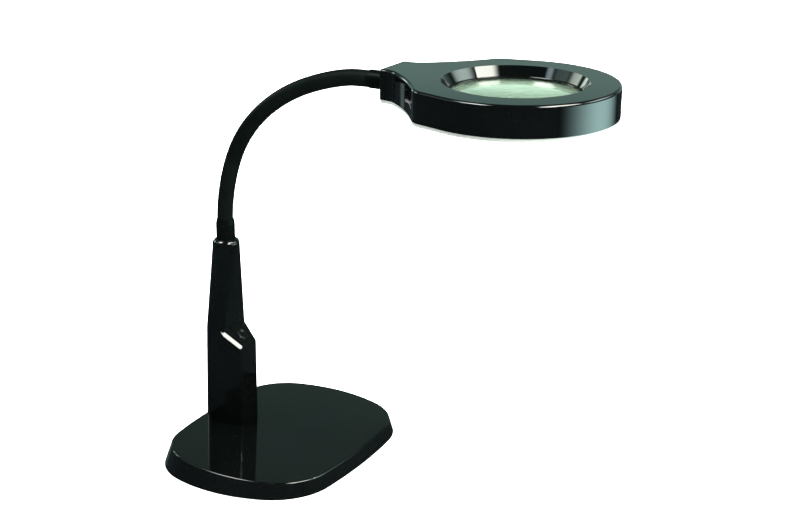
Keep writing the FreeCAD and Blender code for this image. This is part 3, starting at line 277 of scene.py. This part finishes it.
def diffuser(name):
    """Milky moulding below the light ring, a little see-through, with a fine frosted grain."""
    s = Shader(name)
    patch = s.spread(s.noise(18.0, 3.0), 0.3, 0.7)
    grain = s.noise(1800.0, 3.0, 0.6)
    speck = s.dust(380.0, 0.1, 0.03)
    milk = s.mix(patch, (0.24, 0.26, 0.25), (0.28, 0.30, 0.29))
    s.drive("Base Color", s.mix(s.math("MULTIPLY", speck, 0.5), milk, (0.45, 0.43, 0.4)))
    s.drive("Roughness", s.spread(grain, 0.2, 0.8, 0.3, 0.42))
    s.bump((grain, 0.2, 0.00003))
    s.constants(Subsurface_Weight=0.25, Subsurface_Radius=(0.004, 0.004, 0.0035), Subsurface_Scale=1.0)
    return s.material


def lens_glass(name):
    """Pale green lens, a little hazy under a clear coat, with wipe marks and a few specks."""
    s = Shader(name)
    speck = s.dust(300.0, 0.09, 0.03)
    wipe = s.spread(s.noise(40.0, 4.0, 0.6, 1.5, s.stretched(1.0, 0.3, 1.0)), 0.55, 0.8, 0.0, 0.03)
    s.drive("Base Color", s.mix(s.math("MULTIPLY", speck, 0.3), (0.41, 0.56, 0.42), (0.33, 0.43, 0.33)))
    s.drive("Roughness", s.math("ADD", s.math("ADD", wipe, 0.24), s.math("MULTIPLY", speck, 0.1)))
    s.constants(Transmission_Weight=0.9, IOR=1.49, Coat_Weight=1.0, Coat_Roughness=0.03)
    return s.material


def circuit_board(name):
    """White solder mask with the copper under it showing as a faint relief."""
    s = Shader(name)
    copper = s.spread(s.cells(160.0, "DISTANCE_TO_EDGE")["Distance"], 0.06, 0.09)
    s.drive("Base Color", s.mix(copper, (0.62, 0.62, 0.56), (0.80, 0.81, 0.78)))
    s.drive("Roughness", s.spread(s.noise(300.0, 3.0), 0.3, 0.7, 0.28, 0.42))
    s.bump((copper, 0.4, 0.00004))
    return s.material


def led_phosphor(name):
    """Yellow phosphor gel in a white package."""
    s = Shader(name)
    grain = s.noise(2400.0, 4.0, 0.7)
    s.drive("Base Color", s.mix(s.spread(grain, 0.35, 0.65), (0.78, 0.60, 0.10), (0.90, 0.76, 0.22)))
    s.drive("Roughness", s.spread(grain, 0.2, 0.8, 0.25, 0.45))
    s.bump((grain, 0.3, 0.00003))
    s.constants(Subsurface_Weight=0.1, Subsurface_Radius=(0.001, 0.0008, 0.0003))
    return s.material


def make_materials():
    """All materials, by the name of the slot that they paint."""
    tinted = {"Specular_IOR_Level": 0.04, "Specular_Tint": (0.7, 1.0, 0.95, 1.0)}
    made = (
        gloss_plastic("gloss_black", dark=(0.0007, 0.0010, 0.0010), light=(0.0012, 0.0016, 0.0016),
                      roughness=0.045),
        gloss_plastic("button_black", dark=(0.0012, 0.0015, 0.0015), light=(0.0019, 0.0023, 0.0023),
                      roughness=0.12),
        sleeve_rubber("sleeve_black"),
        matte_plastic("ferrule_black", dark=(0.0006, 0.0010, 0.0010), light=(0.0011, 0.0017, 0.0016),
                      roughness=0.34, **tinted),
        matte_plastic("inner_black", dark=(0.014, 0.014, 0.015), light=(0.022, 0.022, 0.023),
                      roughness=0.55),
        diffuser("white_diffuser"),
        lens_glass("lens_glass"),
        plated_metal("coil_steel", dark=(0.36, 0.35, 0.34), light=(0.52, 0.51, 0.49), roughness=0.32),
        plated_metal("plated_steel", dark=(0.55, 0.56, 0.58), light=(0.72, 0.72, 0.71), roughness=0.28,
                     brushed=(1.0, 0.06, 1.0)),
        plated_metal("screw_black", dark=(0.035, 0.035, 0.038), light=(0.07, 0.07, 0.072),
                     roughness=0.38),
        cast_metal("ballast_iron", dark=(0.05, 0.048, 0.046), light=(0.16, 0.155, 0.15),
                   roughness=0.7, metallic=0.6),
        cast_metal("zinc_cast", dark=(0.32, 0.32, 0.33), light=(0.55, 0.55, 0.56),
                   roughness=0.45, metallic=1.0),
        rubber("rubber_pad"),
        circuit_board("board_white"),
        led_phosphor("led_yellow"),
    )
    return {base_name(material): material for material in made}


def base_name(material):
    """A material's name without the number that Blender adds to a second one of that name."""
    return material.name.split(".")[0]


MATERIALS = make_materials()

FINISHES = {
    "button_black": ("switch_button",),
    "ferrule_black": ("lower_ferrule", "upper_ferrule"),
}


def paint_cad_nodes():
    """Every CAD node takes the material named after its slot, unless FINISHES says otherwise."""
    special = {node: finish for finish, nodes in FINISHES.items() for node in nodes}
    for name, node in NODES.items():
        for slot in node.material_slots:
            finish = special.get(name, base_name(slot.material))
            slot.material = MATERIALS.get(finish, MATERIALS["inner_black"])


# ------------------------------------------------------------------- gooseneck

SKIN_SIDES = 56
SKIN_RINGS = 30
SKIN_WALL = 0.0009
SKIN_TUCK = 0.004            # how far the skin runs on inside each ferrule


def neck_joints():
    """The gooseneck's hinges in order from the base to the head."""
    found, body = [], "base"
    while body != "head":
        joint = next(j for j in frame["joints"] if j["parent"] == body and j["name"].startswith("neck"))
        found.append(joint)
        body = joint["child"]
    return found


def neck_curve(points):
    """A smooth curve through the points: a function from length along it to (place, direction)."""
    points = np.array(points)
    lengths = np.concatenate([[0.0], np.cumsum(np.linalg.norm(np.diff(points, axis=0), axis=1))])
    count = len(points)
    spans = np.diff(lengths)
    slopes = np.diff(points, axis=0) / spans[:, None]
    system, right = np.eye(count), np.zeros_like(points)
    right[0] = (0.0, 0.0, 1.0)
    right[-1] = slopes[-1]
    for i in range(1, count - 1):
        system[i, i - 1], system[i, i + 1] = spans[i], spans[i - 1]
        system[i, i] = 2 * (spans[i - 1] + spans[i])
        right[i] = 3 * (spans[i] * slopes[i - 1] + spans[i - 1] * slopes[i])
    tangents = np.linalg.solve(system, right)

    def at(length):
        i = int(np.clip(np.searchsorted(lengths, length) - 1, 0, count - 2))
        span = spans[i]
        t = (length - lengths[i]) / span
        place = ((2 * t**3 - 3 * t**2 + 1) * points[i] + (t**3 - 2 * t**2 + t) * span * tangents[i]
                 + (3 * t**2 - 2 * t**3) * points[i + 1] + (t**3 - t**2) * span * tangents[i + 1])
        along = ((6 * t**2 - 6 * t) * (points[i] - points[i + 1]) / span
                 + (3 * t**2 - 4 * t + 1) * tangents[i] + (3 * t**2 - 2 * t) * tangents[i + 1])
        return place, along / np.linalg.norm(along)

    return at, lengths


def skin_mesh(name, at, start, end, radius):
    """A closed tube wall from start to end along the curve, with a UV map in metres."""
    side = np.array((0.0, 1.0, 0.0))
    stations = np.linspace(start, end, SKIN_RINGS + 1)
    turns = np.arange(SKIN_SIDES) * 2 * math.pi / SKIN_SIDES
    loops = [(s, radius) for s in stations] + [(s, radius - SKIN_WALL) for s in stations[::-1]]
    verts = []
    for length, r in loops:
        place, along = at(length)
        across = np.cross(side, along)
        verts += [tuple(place + r * (math.cos(a) * across + math.sin(a) * side)) for a in turns]
    faces, uvs = [], []
    count = len(loops)
    step = 2 * math.pi * radius / SKIN_SIDES
    for i in range(count):
        k = (i + 1) % count
        here, there = i * SKIN_SIDES, k * SKIN_SIDES
        u0, u1 = loops[i][0], loops[k][0]
        for j in range(SKIN_SIDES):
            n = (j + 1) % SKIN_SIDES
            faces.append((here + j, here + n, there + n, there + j))
            v0, v1 = j * step, (j + 1) * step
            uvs += [(u0, v0), (u0, v1), (u1, v1), (u1, v0)]
    mesh = bpy.data.meshes.new(name)
    mesh.from_pydata(verts, [], faces)
    layer = mesh.uv_layers.new(name="UVMap")
    layer.data.foreach_set("uv", np.array(uvs, np.float32).ravel())
    mesh.shade_smooth()
    mesh.set_sharp_from_angle(angle=math.radians(50))
    mesh.materials.append(MATERIALS["sleeve_black"])
    return mesh


def make_gooseneck():
    """One continuous skin in pieces, shaped to the neck as it stands. Each runs over one hinge and meets
    the next at mid-segment.
    """
    joints = neck_joints()
    foot_low, foot_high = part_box("lower_ferrule")
    tip_low, tip_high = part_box("gooseneck_sleeve_8")
    first = ((foot_low.x + foot_high.x) / 2, 0.0, foot_high.z)
    # the last sleeve starts at y = 0, so its end is twice as far to the side as its middle
    last = (tip_high.x, tip_low.y + tip_high.y, (tip_low.z + tip_high.z) / 2)
    points = [first, *[tuple(j["pos_m"]) for j in joints], last]
    at, lengths = neck_curve(points)
    sleeve_low, sleeve_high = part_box("gooseneck_sleeve_0")
    radius = (sleeve_high.y - sleeve_low.y) / 2
    cuts = [(lengths[i] + lengths[i + 1]) / 2 for i in range(1, len(joints))]
    edges = [-SKIN_TUCK, *cuts, lengths[-1] + SKIN_TUCK]
    bends = [lengths[0], *cuts, lengths[-1]]
    for i, joint in enumerate(joints):
        name = f"gooseneck_skin_{i + 1}"
        piece = bpy.data.objects.new(name, skin_mesh(name, at, edges[i], edges[i + 1], radius))
        bpy.context.scene.collection.objects.link(piece)
        start, end = (tuple(at(length)[0]) for length in bends[i:i + 2])
        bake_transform(piece)
        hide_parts(f"gooseneck_sleeve_{i}", f"gooseneck_sleeve_{i + 1}")


# ----------------------------------------------------------------------- stage

FLOOR_HALF = 7.0


def make_floor():
    """A wide white sheet that glows a little, so the shadows on it stay light."""
    corners = [(x * FLOOR_HALF, y * FLOOR_HALF, 0.0) for x, y in ((-1, -1), (1, -1), (1, 1), (-1, 1))]
    mesh = bpy.data.meshes.new("floor")
    mesh.from_pydata(corners, [], [(0, 1, 2, 3)])
    s = Shader("floor_white")
    s.drive("Base Color", s.mix(s.noise(3.0, 2.0), (0.80, 0.80, 0.80), (0.82, 0.82, 0.82)))
    s.constants(Roughness=0.9, Emission_Color=(1.0, 1.0, 1.0, 1.0), Emission_Strength=0.94)
    mesh.materials.append(s.material)
    floor = bpy.data.objects.new("floor", mesh)
    bpy.context.scene.collection.objects.link(floor)
    floor.visible_glossy = False


class Sky:
    """The studio as reflections and fill light see it: a gradient over height plus soft panels."""

    def __init__(self, name):
        self.world = bpy.data.worlds.new(name)
        self.world.use_nodes = True
        self.tree = self.world.node_tree
        self.tree.nodes.clear()
        coords = self.tree.nodes.new("ShaderNodeTexCoord").outputs["Generated"]
        self.axes = self.tree.nodes.new("ShaderNodeSeparateXYZ")
        self.tree.links.new(coords, self.axes.inputs[0])
        self.elevation = self.degrees("ARCSINE", self.axes.outputs["Z"])
        self.azimuth = self.degrees("ARCTAN2", self.axes.outputs["Y"], self.axes.outputs["X"])

    def math(self, operation, a, b=None):
        n = self.tree.nodes.new("ShaderNodeMath")
        n.operation = operation
        for socket, value in zip(n.inputs, (a, b)):
            if isinstance(value, bpy.types.NodeSocket):
                self.tree.links.new(value, socket)
            elif value is not None:
                socket.default_value = value
        return n.outputs[0]

    def degrees(self, operation, *values):
        return self.math("MULTIPLY", self.math(operation, *values), 180.0 / math.pi)

    def ramp(self, angle, low, high, at_low, at_high):
        """Goes smoothly from at_low to at_high between two angles, all in degrees."""
        n = self.tree.nodes.new("ShaderNodeMapRange")
        n.interpolation_type = "SMOOTHSTEP"
        self.tree.links.new(angle, n.inputs["Value"])
        values = {"From Min": low, "From Max": high, "To Min": at_low, "To Max": at_high}
        for key, number in values.items():
            n.inputs[key].default_value = number
        return n.outputs["Result"]

    def band(self, angle, start, full, last, end):
        """A soft window: it rises from start to full and falls from last to end."""
        rise = self.ramp(angle, start, full, 0.0, 1.0)
        fall = self.ramp(angle, last, end, 1.0, 0.0)
        return self.math("MULTIPLY", rise, fall)

    def around(self, middle):
        """Azimuth counted from a middle direction, from -180 to 180."""
        turned = self.math("ADD", self.azimuth, 540.0 - middle)
        return self.math("SUBTRACT", self.math("FLOORED_MODULO", turned, 360.0), 180.0)

    def gradient(self, stops):
        """Colours by elevation, as (degrees, colour) pairs."""
        ramp = self.tree.nodes.new("ShaderNodeValToRGB")
        share = self.math("DIVIDE", self.math("ADD", self.elevation, 90.0), 180.0)
        self.tree.links.new(share, ramp.inputs[0])
        elements = ramp.color_ramp.elements
        while len(elements) < len(stops):
            elements.new(0.5)
        for element, (angle, colour) in zip(elements, stops):
            element.position = (angle + 90.0) / 180.0
            element.color = (*colour, 1.0)
        return ramp.outputs[0]

    def tinted(self, colour, amount):
        n = self.tree.nodes.new("ShaderNodeVectorMath")
        n.operation = "SCALE"
        if isinstance(colour, bpy.types.NodeSocket):
            self.tree.links.new(colour, n.inputs[0])
        else:
            n.inputs[0].default_value = colour
        self.tree.links.new(amount, n.inputs["Scale"])
        return n.outputs[0]

    def add(self, a, b):
        n = self.tree.nodes.new("ShaderNodeVectorMath")
        n.operation = "ADD"
        self.tree.links.new(a, n.inputs[0])
        self.tree.links.new(b, n.inputs[1])
        return n.outputs[0]

    def finish(self, light, fill):
        """White to the camera, an even fill to matt surfaces, the light to reflections and glass."""
        shader = self.background(light)
        path = self.tree.nodes.new("ShaderNodeLightPath")
        for kind, colour in (("Is Diffuse Ray", fill), ("Is Camera Ray", (1.0, 1.0, 1.0, 1.0))):
            mix = self.tree.nodes.new("ShaderNodeMixShader")
            self.tree.links.new(path.outputs[kind], mix.inputs[0])
            self.tree.links.new(shader, mix.inputs[1])
            self.tree.links.new(self.background(colour), mix.inputs[2])
            shader = mix.outputs[0]
        out = self.tree.nodes.new("ShaderNodeOutputWorld")
        self.tree.links.new(shader, out.inputs[0])
        bpy.context.scene.world = self.world

    def background(self, colour):
        n = self.tree.nodes.new("ShaderNodeBackground")
        if isinstance(colour, bpy.types.NodeSocket):
            self.tree.links.new(colour, n.inputs[0])
        else:
            n.inputs[0].default_value = colour
        return n.outputs[0]


# colours of the studio by elevation in degrees: all round, and behind the lamp as the camera sees it
ROOM = (
    (-90, (0.05, 0.07, 0.08)),
    (-8, (0.05, 0.07, 0.08)),
    (5, (0.06, 0.08, 0.085)),
    (30, (0.05, 0.065, 0.065)),
    (90, (0.04, 0.05, 0.055)),
)
BACKDROP = (
    (-90, (0.03, 0.04, 0.04)),
    (-9, (0.03, 0.04, 0.04)),
    (-3, (0.50, 0.68, 0.57)),
    (5, (0.45, 0.64, 0.55)),
    (9, (0.30, 0.46, 0.40)),
    (14, (0.31, 0.49, 0.44)),
    (15.5, (0.20, 0.33, 0.30)),
    (28, (0.105, 0.165, 0.145)),
    (90, (0.04, 0.05, 0.055)),
)
BACKDROP_MIDDLE = 118.0
BACKDROP_REACH = (-60.0, -35.0, 30.0, 48.0)
FILL = (0.42, 0.45, 0.44, 1.0)

# soft windows: middle azimuth; start, full, last and end across and then upright; radiance
PANELS = (
    (-5.0, (-30.0, -14.0, 14.0, 38.0, 26.0, 34.0, 58.0, 68.0), (25.0, 25.5, 23.0)),
    (-29.0, (-12.0, -7.0, 7.0, 14.0, 26.0, 30.0, 38.0, 42.0), (20.0, 20.5, 19.0)),
    (174.0, (-12.0, -6.0, 5.0, 18.0, 13.0, 18.0, 26.0, 32.0), (5.2, 6.0, 5.2)),
    (150.0, (-6.0, -3.0, 3.0, 6.0, 4.0, 8.0, 12.0, 16.0), (3.6, 4.3, 4.0)),
    (150.5, (-5.0, -2.0, 1.5, 3.5, -20.0, -16.0, -6.0, 0.0), (0.22, 0.30, 0.28)),
    (-131.0, (-9.0, -2.0, 2.0, 9.0, 34.0, 38.0, 41.0, 45.0), (4.2, 5.4, 5.8)),
    (-155.0, (-20.0, -8.0, 8.0, 20.0, 22.0, 29.0, 38.0, 44.0), (1.0, 1.4, 1.3)),
    (-130.0, (-40.0, -15.0, 12.0, 25.0, 46.0, 54.0, 64.0, 72.0), (26.0, 26.5, 25.0)),
)


def make_world():
    sky = Sky("studio")
    room, backdrop = sky.gradient(ROOM), sky.gradient(BACKDROP)
    behind = sky.band(sky.around(BACKDROP_MIDDLE), *BACKDROP_REACH)
    beside = sky.math("SUBTRACT", 1.0, behind)
    light = sky.add(sky.tinted(room, beside), sky.tinted(backdrop, behind))
    for middle, reach, colour in PANELS:
        across = sky.band(sky.around(middle), *reach[:4])
        upright = sky.band(sky.elevation, *reach[4:])
        light = sky.add(light, sky.tinted(colour, sky.math("MULTIPLY", across, upright)))
    sky.finish(light, FILL)


PANEL_COLUMNS = 40


def glow_panel(name, radius, azimuths, heights, colour):
    """A curved sheet around the lens that only reflections see. It fades out towards its four edges."""
    low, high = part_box("lens")
    turns = np.radians(np.linspace(azimuths[0], azimuths[-1], PANEL_COLUMNS + 1))
    rim = [(radius * math.cos(a), radius * math.sin(a)) for a in turns]
    verts = [(x, y, z) for x, y in rim for z in (heights[0], heights[-1])]
    faces = [(2 * i, 2 * i + 2, 2 * i + 3, 2 * i + 1) for i in range(PANEL_COLUMNS)]
    mesh = bpy.data.meshes.new(name)
    mesh.from_pydata(verts, [], faces)
    s = Shader(name)
    axes = s.node("ShaderNodeSeparateXYZ")
    s.link(s.coords, axes.inputs[0])
    turn = s.math("ARCTAN2", axes.outputs["Y"], axes.outputs["X"])
    across = s.band(turn, *(math.radians(a) for a in azimuths))
    s.drive("Emission Strength", s.math("MULTIPLY", across, s.band(axes.outputs["Z"], *heights)))
    s.constants(Base_Color=(0.0, 0.0, 0.0, 1.0), Specular_IOR_Level=0.0, Emission_Color=(*colour, 1.0))
    mesh.materials.append(s.material)
    sheet = bpy.data.objects.new(name, mesh)
    sheet.location = ((low.x + high.x) / 2, (low.y + high.y) / 2, 0.0)
    for kind in ("camera", "diffuse", "transmission", "shadow", "volume_scatter"):
        setattr(sheet, "visible_" + kind, False)
    bpy.context.scene.collection.objects.link(sheet)


def make_panels():
    """Two glows that stand close enough for the head to see them where the base and post don't."""
    glow_panel("glow_low", radius=0.8, azimuths=(-22.0, 24.0, 25.0, 72.0),
               heights=(0.02, 0.09, 0.23, 0.32), colour=(4.7, 7.3, 7.1))
    glow_panel("glow_high", radius=1.0, azimuths=(12.0, 30.0, 34.0, 76.0),
               heights=(0.66, 0.78, 1.05, 1.25), colour=(7.0, 8.6, 8.0))


def softbox(name, azimuth, elevation, distance, width, height, power):
    """An area light seen from the middle of the lamp at that azimuth and elevation, facing it."""
    low, high = CAD_BOX
    centre = (low + high) / 2
    a, e = math.radians(azimuth), math.radians(elevation)
    way = Vector((math.cos(a) * math.cos(e), math.sin(a) * math.cos(e), math.sin(e)))
    data = bpy.data.lights.new(name, "AREA")
    data.shape = "RECTANGLE"
    data.size, data.size_y = width, height
    data.energy = power
    light = bpy.data.objects.new(name, data)
    light.location = centre + way * distance
    light.rotation_euler = way.to_track_quat("Z", "Y").to_euler()
    light.visible_camera = False
    light.visible_glossy = False
    bpy.context.scene.collection.objects.link(light)
    return light


def make_lights():
    softbox("softbox_right", azimuth=5, elevation=38, distance=1.6, width=1.2, height=0.8, power=24)
    softbox("softbox_left", azimuth=170, elevation=40, distance=1.5, width=0.8, height=0.6, power=10)


# the camera that the outlines of the base and the head were solved for
CAMERA_PLACE = (0.7001, -1.0834, 0.5952)
CAMERA_TURN = (71.90, -0.1, 28.12)
CAMERA_LENS, CAMERA_SENSOR = 68.8, 36.0


def make_camera():
    data = bpy.data.cameras.new("camera")
    data.lens = CAMERA_LENS
    data.sensor_width = CAMERA_SENSOR
    data.clip_start, data.clip_end = 0.05, 60.0
    camera = bpy.data.objects.new("camera", data)
    camera.location = CAMERA_PLACE
    camera.rotation_euler = [math.radians(turn) for turn in CAMERA_TURN]
    bpy.context.scene.collection.objects.link(camera)
    bpy.context.scene.camera = camera


paint_cad_nodes()
make_gooseneck()
make_floor()
make_world()
make_panels()
make_lights()
make_camera()
bpy.context.scene.view_settings.view_transform = "Standard"
